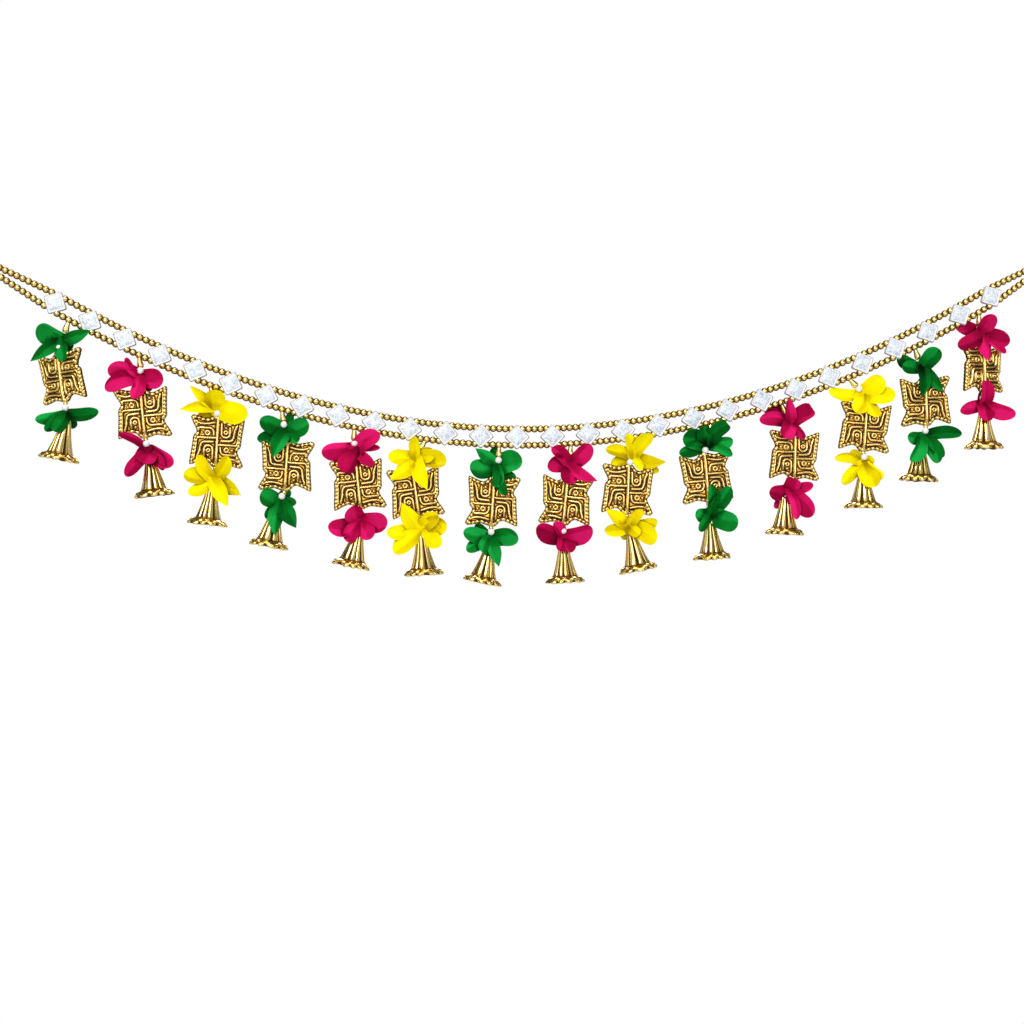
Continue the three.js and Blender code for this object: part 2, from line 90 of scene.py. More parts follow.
# Petals as (toward, reach, width, forward, kind): toward in degrees from +X as seen from the front,
# forward out of the hanging's plane. kind is 1 for a pointed petal and 2 for a square-ended one.
TOP_FLOWERS = [
    [(150, 24, 16, 5), (-145, 32, 11, 7, 1), (20, 28, 11, 7, 1), (-85, 18, 10, 9), (-35, 10, 9, -6)],
    [(165, 29, 16, 5), (125, 21, 7, 6), (-5, 21, 16, 5), (-160, 32, 13, 6), (-105, 20, 11, 8),
     (-55, 14, 11, -6)],
    [(140, 29, 9, 6, 1), (-175, 31, 10, 5, 1), (85, 15, 15, 8), (-15, 30, 18, 7), (-145, 19, 12, -6)],
    [(155, 25, 14, 5), (-165, 27, 11, -6.5), (-115, 26, 13, 10, 1), (20, 22, 15, 5), (75, 18, 8, -7),
     (-40, 15, 11, 6)],
    [(-175, 30, 15, 5), (-115, 23, 18, 8), (35, 27, 15, 7), (5, 23, 6, 4), (-40, 22, 9, 6),
     (-145, 23, 11, -6)],
    [(95, 20, 9, 8), (175, 25, 13, 4), (-140, 30, 14, 7, 1), (20, 18, 13, 5), (-5, 28, 15, 5),
     (-70, 30, 13, 8, 1)],
    [(140, 26, 11, 7, 1), (180, 25, 16, 5), (95, 19, 9, -8), (20, 24, 18, 5), (-95, 19, 10, 8),
     (-75, 27, 9, 8), (-30, 21, 9, -6)],
    [(135, 24, 11, 7), (180, 21, 14, 5), (45, 27, 14, 7), (-95, 17, 15, 9), (-30, 28, 10, 11, 1)],
    [(105, 21, 9, 8), (50, 26, 12, 7), (165, 26, 10, 5), (-155, 21, 11, -6), (-10, 31, 12, 5, 1),
     (-60, 15, 7, 7), (-30, 29, 9, -6)],
    [(165, 23, 17, 5), (105, 16, 14, 8), (-160, 28, 11, 6), (45, 26, 13, 7, 2), (5, 24, 12, 5),
     (-25, 26, 9, 6)],
    [(150, 28, 13, -7), (175, 31, 12, 5), (100, 23, 11, 8, 1), (35, 23, 14, 6, 2), (-115, 16, 14, 8, 2),
     (-55, 19, 7, 8)],
    [(175, 33, 11, 5), (40, 24, 17, 7), (0, 30, 15, 5), (-115, 19, 14, 8), (-55, 25, 12, 7)],
    [(150, 24, 11, -7), (175, 20, 11, 4), (55, 22, 14, 7), (-95, 28, 12, 8, 1), (-50, 29, 12, 7, 1)],
    [(155, 25, 13, -7), (-155, 30, 13, 12.5), (60, 20, 14, 7), (-15, 27, 16, 6), (-40, 28, 8, 7),
     (-80, 26, 12, 8, 1)],
]
LOW_FLOWERS = [
    [(5, 29, 11, 4), (-170, 27, 10, 5), (-140, 23, 9, 7), (-120, 18, 11, 9), (-65, 13, 10, -9)],
    [(150, 30, 7, 6), (-130, 30, 12, 9), (-110, 12, 18, 9), (-30, 26, 14, 6), (-50, 23, 8, 9)],
    [(120, 25, 11, 7), (170, 26, 14, 5), (-150, 25, 11, 6), (-60, 28, 13, 10, 1), (-30, 28, 13, -6, 1),
     (55, 25, 12, 7)],
    [(150, 18, 15, 6), (-130, 19, 9, -8), (-95, 30, 13, 11, 1), (-55, 28, 14, 10, 1), (0, 16, 8, 4),
     (50, 15, 9, -7)],
    [(-170, 29, 15, 5), (120, 16, 16, 8), (-125, 21, 13, 10), (0, 25, 17, 6), (-55, 18, 14, 9)],
    [(125, 30, 15, 7, 1), (-175, 31, 13, 4), (-140, 32, 15, 8), (45, 21, 13, 7), (10, 24, 16, 5),
     (-40, 23, 14, 8)],
    [(165, 26, 13, 5), (135, 19, 9, -7), (-155, 25, 11, 6), (-115, 15, 15, 9), (-75, 26, 11, 11, 1),
     (0, 25, 15, 6)],
    [(160, 27, 16, 6), (120, 17, 9, 8), (-110, 13, 11, 10), (-60, 15, 11, 10), (15, 27, 16, 11)],
    [(145, 28, 12, 6, 1), (-170, 24, 11, 5), (-110, 13, 8, -9), (-45, 11, 10, 8), (55, 19, 9, 8),
     (10, 26, 12, 4), (-30, 27, 16, 8)],
    [(90, 28, 8, 8), (55, 31, 13, 8), (-175, 14, 12, 4), (-125, 19, 8, 9), (-20, 27, 17, 6)],
    [(-175, 19, 13, 6), (70, 12, 14, 8, 2), (15, 23, 9, 5), (-50, 31, 16, 11), (-80, 27, 8, 12),
     (-120, 19, 8, -11)],
    [(170, 29, 9, 5), (-140, 29, 11, 8), (-70, 23, 17, 11), (-40, 21, 11, 8), (25, 13, 8, -6),
     (125, 16, 9, -7)],
    [(180, 15, 11, 4), (-120, 27, 10, 10), (5, 37, 11, 5), (-45, 26, 11, 8), (-65, 27, 13, 11)],
    [(95, 22, 13, 8), (-165, 25, 11, 5), (-95, 16, 14, 11), (-20, 30, 13, 6), (75, 14, 10, -7)],
]

# The charm's outline, clockwise from its top left ear to its bottom right one, in two sides. The other
# two sides are these turned half round. The top arm bends left here.
CHARM_TOP = [(-22.8, 20.9), (-21.6, 22.8), (-19.5, 23.3), (-14.5, 22.2), (-9.3, 21), (-4, 22.4), (0, 23.2),
             (3.7, 22.6), (7, 18.6), (10.2, 17.6), (16, 19.6), (20.4, 21.6), (22.3, 21.4)]
CHARM_RIGHT = [(22.3, 21.4), (22.4, 18.5), (21.4, 9.8), (20.6, 2.5), (20, -4.2), (17.7, -7.9),
               (18.4, -11.5), (20.8, -16), (22.8, -20.9)]

# The charm's relief on its left half: raised lines with a cut beside them that painted shade darkens, rings
# and dots.
CHARM_LINES = [
    [(-19, 18.2), (-16.5, 16.4), (-12.5, 15.6), (-7.5, 15.9), (-2.8, 17)],
    [(-18.6, 13.6), (-17, 12.4), (-13, 11.9), (-8.8, 11.9), (-5.4, 11.6), (-3.4, 9.2), (-3.1, 5.6)],
    [(-1.8, 3.1), (-6, 3.1), (-11, 3), (-16.6, 2.6), (-17.8, -4), (-18.4, -10.5), (-19, -16)],
    [(-3.4, -0.5), (-8, -0.6), (-12.4, -1.4), (-13.9, -5), (-14.6, -10), (-16.4, -15.4)],
    [(-10.4, -12.8), (-10.5, -7), (-9.4, -4.6), (-7, -3.9), (-4.6, -4.8), (-3.5, -7), (-3.4, -16)],
]
CHARM_RINGS = [(-7, -8.4, 1.4), (-8.2, 7.4, 1.8)]
CHARM_DOTS = [(-13, 7.6), (-16.7, 7.4), (-7, -12.6), (-11.4, -16), (-7.2, -16.2)]


def arc_height(x):
    return ARC.rise * abs(x / ARC.reach) ** ARC.power


def arc_frame(x):
    step = 0.5
    angle = math.atan2(arc_height(x + step) - arc_height(x - step), 2 * step)
    return {"x": x, "z": arc_height(x), "angle": angle}


def stone_x(index):
    t = 2 * index / (STONES.count - 1) - 1
    spread = STONES.half_row + STONES.crowding
    return STONES.middle_x + spread * t - STONES.crowding * t ** 3


def tail_frame(side, distance):
    start = arc_frame(stone_x(0 if side < 0 else STONES.count - 1))
    start["x"] += side * distance * math.cos(start["angle"])
    start["z"] += side * distance * math.sin(start["angle"])
    return start


LOOP_KNOT_AT = STRAND.end_bead + GAP + LOOP.knot
LOOP_CENTRE_AT = LOOP_KNOT_AT + LOOP.knot_sink + LOOP.radius * LOOP.stretch
LOOP_HANG_AT = LOOP_CENTRE_AT + LOOP.radius * LOOP.stretch - LOOP.cord
HANG_POINT = tail_frame(-1, TAIL[-1] + LOOP_HANG_AT)


def in_part(place, offset=0):
    """A frame's point in the part's own frame, moved along the frame's normal."""
    x = place["x"] - offset * math.sin(place["angle"]) - HANG_POINT["x"]
    z = place["z"] + offset * math.cos(place["angle"]) - HANG_POINT["z"]
    return np.array([x, 0.0, z])


def hang(point, length, tilt):
    a = math.radians(tilt)
    return point + length * np.array([math.sin(a), 0, -math.cos(a)])


PEARL_END = PEARL.reach - PEARL.sink
SPACER_END = SPACER.reach - SPACER.sink
TO_HUB = PEARL.facet + GAP + HUB
# The joints down a drop's thread: each one's name, its distance from the last, and which tilt it has.
JOINTS = [
    ("stem_end", STEM_LENGTH, "stem"), ("first_pearl", PEARL_END, "upper"),
    ("top_flower", TO_HUB, "upper"), ("upper_pearl", TO_HUB, "upper"), ("charm_top", PEARL_END, "upper"),
    ("charm_end", CHARM_HEIGHT, "charm"), ("spacer", SPACER_END, "lower"),
    ("low_pearl", SPACER_END + PEARL_END, "lower"), ("low_flower", TO_HUB, "lower"),
    ("bell_top", HUB + BELL_BELOW, "lower"),
]


def chain_of(drop, number):
    """The places of one drop's joints, from the lower strand down to the bell."""
    gap_x = (stone_x(2 * number) + stone_x(2 * number + 1)) / 2
    at = in_part(arc_frame(gap_x), -STRAND.offset)
    chain = {"top": at}
    for name, length, tilt in JOINTS:
        at = hang(at, length, drop[tilt])
        chain[name] = at
    return chain


def new_object(name, data):
    made = bpy.data.objects.new(name, data)
    bpy.context.scene.collection.objects.link(made)
    return made


class Pile:
    """Points, faces and one value a point, gathered into one mesh."""

    def __init__(self):
        self.points, self.values, self.faces, self.count = [], [], [], 0

    def add(self, points, faces, values=0.0):
        points = np.asarray(points, float)
        self.points.append(points)
        self.values.append(np.broadcast_to(np.asarray(values, float), len(points)))
        self.faces.extend([tuple(int(i) + self.count for i in face) for face in faces])
        self.count += len(points)

    def piece(self, name, material, slot, replaces=()):
        mesh = bpy.data.meshes.new(name)
        mesh.from_pydata((np.concatenate(self.points) * MM).tolist(), [], self.faces)
        mesh.attributes.new("recess", "FLOAT", "POINT").data.foreach_set(
            "value", np.concatenate(self.values).astype(np.float32))
        mesh.polygons.foreach_set("use_smooth", np.ones(len(mesh.polygons), bool))
        mesh.materials.append(material)
        mesh.update()
        made = new_object(name, mesh)
        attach(made, "root")
        if replaces:
            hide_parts(*replaces)


def grid_faces(rows, columns, closed=False):
    """Faces of a grid of points, row after row, closed round if each row is a ring."""
    faces = []
    for r in range(rows - 1):
        for c in range(columns if closed else columns - 1):
            d = (c + 1) % columns
            faces.append((r * columns + c, r * columns + d, (r + 1) * columns + d, (r + 1) * columns + c))
    return faces


def rim_of(rows, columns):
    """The numbers of the points round a grid's edge, in order."""
    index = np.arange(rows * columns).reshape(rows, columns)
    return np.concatenate([index[0], index[1:, -1], index[-1, -2::-1], index[-2:0:-1, 0]])


def capped(rings, ends):
    """The closed skin over rings of points, whose two ends close to a point each."""
    sides = len(rings[0])
    count = len(rings) * sides
    faces = [face[::-1] for face in grid_faces(len(rings), sides, closed=True)]
    low = count - sides
    for c in range(sides):
        d = (c + 1) % sides
        faces += [(c, d, count), (low + d, low + c, count + 1)]
    return np.concatenate([*rings, ends]), faces


def smooth_step(low, high, value):
    t = np.clip((value - low) / (high - low), 0, 1)
    return t * t * (3 - 2 * t)


def along(angle):
    """The directions right and down of a piece that hangs at an angle from plumb, in radians."""
    return np.array([math.cos(angle), 0, math.sin(angle)]), np.array([math.sin(angle), 0, -math.cos(angle)])


def turned(profile, sides, at, tilt):
    """A closed shape turned about its hanging axis. profile rows are (down, radius)."""
    right, down = along(math.radians(tilt))
    angles = np.arange(sides) * 2 * math.pi / sides
    rows = []
    for distance, radius in profile:
        ring = at + distance * down + np.outer(radius * np.cos(angles), right)
        ring[:, 1] += radius * np.sin(angles)
        rows.append(ring)
    return capped(rows, [at + profile[0][0] * down, at + profile[-1][0] * down])


# A ball: how near its rings come to its poles in radians, the cosines between which painted shade darkens
# it into its thread holes, and the levels between which its bright front fades into painted shade at its
# edge.
BALL = Values(pole=0.06, hole=(0.72, 0.97), front=(0.88, 0.48))


def ball(at, radius, axis_angle, rings, sides, lit_sides=1.0):
    """A ball with its poles on the thread: its recess value is 1 round the thread's holes, as painted shade.

    Its last argument is how bright its sides stay next to its front and back; below 1, painted shade darkens
    them towards the edge.
    """
    polar = np.linspace(BALL.pole, math.pi - BALL.pole, rings)
    profile = [(-radius * math.cos(p), radius * math.sin(p)) for p in polar]
    points, faces = turned(profile, sides, np.asarray(at, float), math.degrees(axis_angle))
    hole = smooth_step(*BALL.hole, np.abs(np.cos(polar)))
    values = np.concatenate([np.repeat(hole, sides), [1, 1]])
    level = np.abs(points[:, 1] - at[1]) / radius
    return points, faces, np.maximum(values, (1 - lit_sides) * smooth_step(*BALL.front, level))


def strand_runs(row):
    """The runs of beads of one strand, as places with the strand's slope. row is +1 above, -1 below."""
    runs = []
    for side in (-1, 1):
        free = TAIL[side] - STRAND.end_tuck - STRAND.past_stone
        count = math.floor(free / STRAND.pitch + 0.5)
        run = []
        for bead in range(count):
            distance = TAIL[side] - STRAND.end_tuck - (count - bead - 0.5) * STRAND.pitch
            share = distance / TAIL[side]
            offset = STRAND.offset + (STRAND.tail_offset - STRAND.offset) * share
            place = tail_frame(side, distance)
            run.append((in_part(place, row * offset), place["angle"]))
        runs.append(run)
    for stone in range(STONES.count - 1):
        run = []
        for half in range(STRAND.hidden, STRAND.half_pitches - STRAND.hidden + 1, 2):
            share = 0.5 + STRAND.spread * (half / STRAND.half_pitches - 0.5)
            place = arc_frame(stone_x(stone) + share * (stone_x(stone + 1) - stone_x(stone)))
            run.append((in_part(place, row * STRAND.offset), place["angle"]))
        runs.append(run)
    return runs


def make_strands(gold):
    for row, name in ((1, "strand_upper"), (-1, "strand_lower")):
        pile = Pile()
        for run in strand_runs(row):
            for at, angle in run:
                # Strand beads carry painted shade on their sides, darkest at their edges.
                pile.add(*ball(at, STRAND.bead, angle + math.pi / 2, rings=11, sides=20, lit_sides=0.1))
            # Small dark necks between the beads: painted shade where they meet.
            for (at, angle), (after, _) in zip(run, run[1:]):
                middle = (at + after) / 2
                points, faces, _ = ball(middle, STRAND.neck, angle + math.pi / 2, rings=5, sides=10)
                pile.add(points, faces, 1.0)
        pile.piece(name, gold, "gold", ["band"] if row > 0 else [])
    ends = Pile()
    for side in (-1, 1):
        place = tail_frame(side, TAIL[side])
        lean = place["angle"] + math.pi / 2
        ends.add(*ball(in_part(place), STRAND.end_bead, lean, rings=14, sides=24))
    ends.piece("end_beads", gold, "gold")


# Each step of a stone from its back to its middle: inset from the outline, and forward.
STONE_STEPS = [
    (7.9, -2.8), (1.2, -2.8), (0.3, -2.1), (0, -0.6), (0, 1.1), (0.3, 1.9), (0.65, 2.3), (0.9, 2.52),
    (1.4, 2.5), (1.8, 2.1), (2.1, 2.05), (3.0, 2.45), (4.6, 2.75), (6.4, 2.85), (7.9, 2.85),
]
# A corner's radius, how fast it narrows inwards, its least radius, and its most as a share of the half.
STONE_CORNER = Values(radius=1.8, narrows=0.4, least=0.4, most=0.98, steps=9)
# The outside ends at this inset and forward, and is painted grey as shade; the foil begins at the second
# inset.
STONE_RIM = Values(inset=1, forward=2.4, foil_inset=1.9)


def stone_outline(inset):
    """A square with rounded corners, as points round it."""
    half = STONES.side / 2 - inset
    corner = max(STONE_CORNER.radius - STONE_CORNER.narrows * inset, STONE_CORNER.least)
    corner = min(corner, half * STONE_CORNER.most)
    steps = STONE_CORNER.steps
    points = []
    for quarter in range(4):
        middle = math.pi / 4 + quarter * math.pi / 2
        centre = (half - corner) * math.sqrt(2) * np.array([math.cos(middle), math.sin(middle)])
        for step in range(steps):
            a = middle - math.pi / 4 + step * math.pi / 2 / (steps - 1)
            points.append(centre + corner * np.array([math.cos(a), math.sin(a)]))
    return np.array(points)


def make_stones(stone):
    pile = Pile()
    for index in range(STONES.count):
        place = arc_frame(stone_x(index))
        middle = in_part(place)
        lean = place["angle"] + math.pi / 4
        right, down = along(lean)
        rows = []
        foil = []
        for inset, forward in STONE_STEPS:
            flat = stone_outline(inset)
            ring = middle + np.outer(flat[:, 0], right) - np.outer(flat[:, 1], down)
            ring[:, 1] = -STONES.forward - forward
            rows.append(ring)
            # The outside walls take the rim ramp's grey, painted shade.
            level = 0.0 if forward < STONE_RIM.forward and inset < STONE_RIM.inset else 0.5
            on_foil = inset > STONE_RIM.foil_inset and forward > 0
            foil.append(np.full(len(flat), 1.0 if on_foil else level))
        columns = len(rows[0])
        points = np.concatenate(rows)
        faces = grid_faces(len(rows), columns, closed=True)
        low = (len(rows) - 1) * columns
        faces.append(tuple(range(columns - 1, -1, -1)))
        faces.append(tuple(low + c for c in range(columns)))
        pile.add(points, faces, np.concatenate(foil))
    pile.piece("stones", stone, "stone")


STEM_PROFILE = [
    (-1.6, 0.9), (-1, 1.5), (0.4, 1.75), (2.5, 1.85), (5, 2.2), (7.5, 2.8), (9.3, 3.1), (10.6, 2.9),
    (11.6, 2.2), (12.1, 1.2),
]
# How dark the painted shade on a stem's edges is, and the distances from its middle plane over which it
# darkens them.
STEM_EDGE_SHADE = Values(dark=0.6, between=(1.6, 0.2))


def make_threads(chains, gold, pearl):
    stems, pearls, spacers = Pile(), Pile(), Pile()
    for drop, chain in zip(DROPS, chains):
        points, faces = turned(STEM_PROFILE, 24, chain["top"], drop["stem"])
        # Painted shade darkens the stem's edges, where it turns away from the front.
        shade = STEM_EDGE_SHADE.dark * smooth_step(*STEM_EDGE_SHADE.between, np.abs(points[:, 1]))
        stems.add(points, faces, shade)
        for name, tilt in (("first", "upper"), ("upper", "upper"), ("low", "lower")):
            forward = PEARL.forward if name in drop["shown"] else -PEARL.behind
            at = chain[name + "_pearl"] - np.array([0, forward, 0])
            pearls.add(*ball(at, PEARL.radius, math.radians(drop[tilt]), rings=12, sides=22))
        lean = math.radians(drop["lower"])
        spacers.add(*ball(chain["spacer"], SPACER.radius, lean, rings=10, sides=18))
    stems.piece("stems", gold, "gold")
    pearls.piece("pearls", pearl, "pearl")
    spacers.piece("spacer_beads", gold, "gold")


# widest is where along it each kind of petal is widest, and layer the space between two roots.
PETAL = Values(
    rows=18, columns=13, thick=0.8, past_hub=0.18, layer=0.72, front_layer=2.5,
    widest=(0.58, 0.4, 0.7), broad=1.12, root_broad=0.86, root_length=0.1, root_round=2.2,
    point_round=1.8, square_loss=0.4, least=0.04, creased_back=0.6, crease_soft=0.004,
    crease_level=0.4, curl_from=0.5, tilt_over=(0.1, 0.6), side_over=(0.1, 0.5), ripples=7,
)
# The range of each of a petal's random measures, as shares of its half width or in millimetres.
PETAL_RANGES = {
    "crease": (0.3, 0.72), "crease_at": (-0.4, 0.4), "crease_turn": (-0.5, 0.5), "tip_curl": (-1.0, 2.4),
    "tilt": (0.05, 0.4), "cup": (-0.1, 0.3), "side_curl": (-0.1, 0.3), "ripple": (0.2, 0.6),
    "phase": (0, 2 * math.pi), "bend": (-0.09, 0.09), "tone": (0.0, 0.5),
}
# Painted shade on a petal: how dark it is at its root, on the far side of its crease and in it, and where
# its edge lightens as a painted highlight.
PETAL_SHADE = Values(
    root=0.4, root_ends=0.5, side=0.16, crease=0.6, crease_half=0.1, crease_fades=0.8,
    edge_from=0.97, edge=0.4,
)


def petal_width(kind, u):
    """Half the petal's width as a share of its own, along its length from the hub."""
    widest = PETAL.widest[kind]
    root_end = np.clip((u + PETAL.past_hub) / (PETAL.root_length + PETAL.past_hub), 0, 1)
    body = PETAL.root_broad + (1 - PETAL.root_broad) * np.sin(np.clip(u / widest, 0, 1) * math.pi / 2)
    rise = body * np.sqrt(np.maximum(1 - (1 - root_end) ** PETAL.root_round, 0))
    t = np.clip((u - widest) / (1 - widest), 0, 1)
    round_end = np.sqrt(np.maximum(1 - t ** 2, 0))
    fall = (round_end, 1 - t ** PETAL.point_round, 1 - PETAL.square_loss * t ** 3)[kind]
    return PETAL.broad * np.maximum(np.where(u < widest, rise, fall), PETAL.least)


def petal(at, shape, rank, seed):
    """One petal: a thin cut sheet, tilted, folded along one line, cupped and curled.

    rank is its place in the flower's stack, 0 in front. Its painted shade is 1 where it is darkest.
    """
    toward, reach, width, forward = shape[:4]
    kind = shape[4] if len(shape) > 4 else 0
    chance = np.random.default_rng(seed)

    def drawn(measure):
        return chance.uniform(*PETAL_RANGES[measure])

    def sign(share=0.5):
        return 1 if chance.random() < share else -1

    crease = drawn("crease") * sign(PETAL.creased_back)
    crease_at = drawn("crease_at")
    crease_end = crease_at + drawn("crease_turn")
    tip_curl = drawn("tip_curl")
    tilt = drawn("tilt") * sign()
    cup = drawn("cup")
    lifted = sign()
    side_curl, ripple, phase, bend, tone = map(drawn, ("side_curl", "ripple", "phase", "bend", "tone"))
    t = np.linspace(0, 1, PETAL.rows)
    u = -PETAL.past_hub + (1 + PETAL.past_hub) * (0.5 - 0.5 * np.cos(t * math.pi))
    v = np.sin(np.linspace(-1, 1, PETAL.columns) * math.pi / 2)
    uu, vv = np.meshgrid(u, v, indexing="ij")
    half = 0.5 * width * petal_width(kind, uu)
    root = PETAL.front_layer - PETAL.layer * rank
    side = vv * half
    out = np.clip(uu, 0, 1)
    depth = -(root + (forward - root) * out * (2 - out))
    from_fold = vv - crease_at - (crease_end - crease_at) * out
    spread = np.sin(math.pi * np.clip(out * 0.75 + 0.15, 0, 1))
    fold = np.sqrt(from_fold ** 2 + PETAL.crease_soft) - PETAL.crease_level
    curl = np.clip(out - PETAL.curl_from, 0, 1) ** 2 * 4
    side_lift = np.maximum(lifted * vv, 0) ** 3 * smooth_step(*PETAL.side_over, out) * 2
    depth = depth + crease * half * spread * fold - tip_curl * curl
    depth = depth + tilt * side * smooth_step(*PETAL.tilt_over, out) - cup * half * vv ** 2 * spread
    depth = depth - side_curl * half * side_lift
    depth = depth + ripple * np.sin(phase + PETAL.ripples * out) * np.abs(vv) ** 3 * out
    a = math.radians(toward)
    length = uu * reach
    side = side + bend * reach * np.sin(math.pi * out)
    x = at[0] + length * math.cos(a) - side * math.sin(a)
    z = at[2] + length * math.sin(a) + side * math.cos(a)
    front = np.stack([x, at[1] + depth - PETAL.thick / 2, z], -1).reshape(-1, 3)
    back = front + np.array([0, PETAL.thick, 0])
    total = uu.size
    ring = rim_of(*uu.shape)
    sheet = grid_faces(*uu.shape)
    faces = [face[::-1] for face in sheet] + [tuple(i + total for i in face) for face in sheet]
    for i in range(len(ring)):
        j = (i + 1) % len(ring)
        near, far = 2 * total, 2 * total + len(ring)
        faces.append((near + i, near + j, far + j, far + i))
    # Painted shade at the root, on one side of the crease and in it, and a lighter edge as painted
    # highlight.
    shade = tone + PETAL_SHADE.root * (1 - smooth_step(0, PETAL_SHADE.root_ends, uu))
    shade = shade + PETAL_SHADE.side * np.sign(from_fold) * np.sign(crease)
    in_crease = np.exp(-(from_fold / PETAL_SHADE.crease_half) ** 2) * (1 - PETAL_SHADE.crease_fades * out)
    shade = np.maximum(shade, PETAL_SHADE.crease * in_crease)
    shade = np.where(np.abs(vv) > PETAL_SHADE.edge_from, PETAL_SHADE.edge * shade, shade).ravel()
    # The cut edge strips get no shade, a painted light edge.
    return {
        "points": np.concatenate([front, back, front[ring], back[ring]]), "faces": faces,
        "shade": np.concatenate([shade, shade, np.zeros(2 * len(ring))]),
        "looks": np.repeat([-1.0, 1.0, -1.0, 1.0], [total, total, len(ring), len(ring)]),
    }


# How far an upper petal's edge darkens the one below it with painted shadow, at which depths between them,
# and how much.
OVERLAP = Values(reach=2.1, depths=(0.1, 1.3), dark=0.9)
# The ball that a flower's petals are threaded round, as a share of the solid hub's radius, and its painted
# shade.
FLOWER_CORE = Values(share=0.6, shade=0.7)
SEEDS_A_FLOWER = 20
LOW_FLOWER_SEED = 50


def overlap_shade(one, others):
    """How dark each point of a petal is for lying close under the edge of another."""
    shade = np.zeros(len(one["points"]))
    for other in others:
        across = one["points"][:, None, ::2] - other["points"][None, :, ::2]
        gap = np.sqrt((across ** 2).sum(-1))
        under = one["looks"][:, None] * (other["points"][None, :, 1] - one["points"][:, None, 1])
        cover = np.exp(-(gap / OVERLAP.reach) ** 2) * smooth_step(*OVERLAP.depths, under)
        shade = np.maximum(shade, cover.max(1))
    return OVERLAP.dark * shade


def make_flower(name, petals, at, material, slot, seed):
    pile = Pile()
    order = sorted(range(len(petals)), key=lambda number: -petals[number][3])
    first = seed * SEEDS_A_FLOWER
    made = [petal(at, petals[number], rank, first + number) for rank, number in enumerate(order)]
    for one in made:
        shade = overlap_shade(one, [other for other in made if other is not one])
        pile.add(one["points"], one["faces"], np.maximum(one["shade"], shade))
    points, faces, _ = ball(at, HUB * FLOWER_CORE.share, 0, rings=8, sides=14)
    pile.add(points, faces, FLOWER_CORE.shade)
    pile.piece(name, material, slot, [name])


# across is how much broader the charm is than its flat outline. A cut runs beside each line, and a wider
# one a little off it. The border is a row of beads, with a moat inside it, and the rib carries the thread.
# The cuts, moat and gaps between beads are painted shade; the wider cut, to one side, is a painted shadow.
CHARM = Values(
    cells=88, across=1.06, edge_half=0.7, edge_round=1.0, round_over=1.6, puff=1.1,
    puff_over=9, line_half=0.9, line_high=1.1, cut_at=1.3, cut_thin=0.5, cut_deep=0.9,
    cut_shift=(1.15, -1.15), cut_half=0.95, ring_half=0.75, ring_cut_at=1.05, dot_half=1.15,
    dot_cut_at=1.35, small_cut=0.8, small_cut_thin=0.4, bead_pitch=3.5, bead_middle=1.6,
    bead_half=1.6, border=(3.05, 2.75), between_beads=0.8, moat_at=3.15, moat_half=0.5,
    moat_from_rib=(1.6, 2.6), rib_half=1.3, rib_high=1.5, rib_cut_at=1.75, rib_cut_half=0.6,
    line_fills=1.6, ground=0.3, cut_dark=0.8, line_bright=0.6, bright_by=1.5,
)
# The rod's end in the charm's top, as (down, radius), and how dark it is.
ROD = [(-0.9, 0.9), (-0.6, 1.5), (0.6, 1.6), (1.1, 1.25), (3, 1.25)]
ROD_SHADE = 0.1


def smooth_line(corners, count):
    """A curve through points, sampled evenly by its length."""
    corners = np.array(corners, float)
    padded = np.concatenate([[2 * corners[0] - corners[1]], corners, [2 * corners[-1] - corners[-2]]])
    samples = []
    between = 12
    for i in range(len(corners) - 1):
        p0, p1, p2, p3 = padded[i:i + 4]
        for t in np.linspace(0, 1, between, endpoint=False):
            samples.append(0.5 * (2 * p1 + (p2 - p0) * t + (2 * p0 - 5 * p1 + 4 * p2 - p3) * t ** 2
                                  + (3 * p1 - p0 - 3 * p2 + p3) * t ** 3))
    samples.append(corners[-1])
    samples = np.array(samples)
    lengths = np.concatenate([[0], np.cumsum(np.linalg.norm(np.diff(samples, axis=0), axis=1))])
    wanted = np.linspace(0, lengths[-1], count)
    return np.stack([np.interp(wanted, lengths, samples[:, k]) for k in (0, 1)], 1)


def distance_to(points, line):
    """Each point's distance to a line of short steps, and how far along the line it is."""
    start, step = line[:-1], np.diff(line, axis=0)
    lengths = np.linalg.norm(step, axis=1)
    before = np.concatenate([[0], np.cumsum(lengths)[:-1]])
    best = np.full(len(points), 1e9)
    where = np.zeros(len(points))
    for s, d, size, past in zip(start, step, lengths, before):
        t = np.clip(((points - s) @ d) / (size * size), 0, 1)
        gap = np.linalg.norm(points - s - t[:, None] * d, axis=1)
        nearer = gap < best
        best[nearer] = gap[nearer]
        where[nearer] = past + t[nearer] * size
    return best, where


def dome(gap, half):
    """1 where the gap is nothing, falling round to 0 at half and past it."""
    return np.sqrt(np.maximum(1 - (gap / half) ** 2, 0))


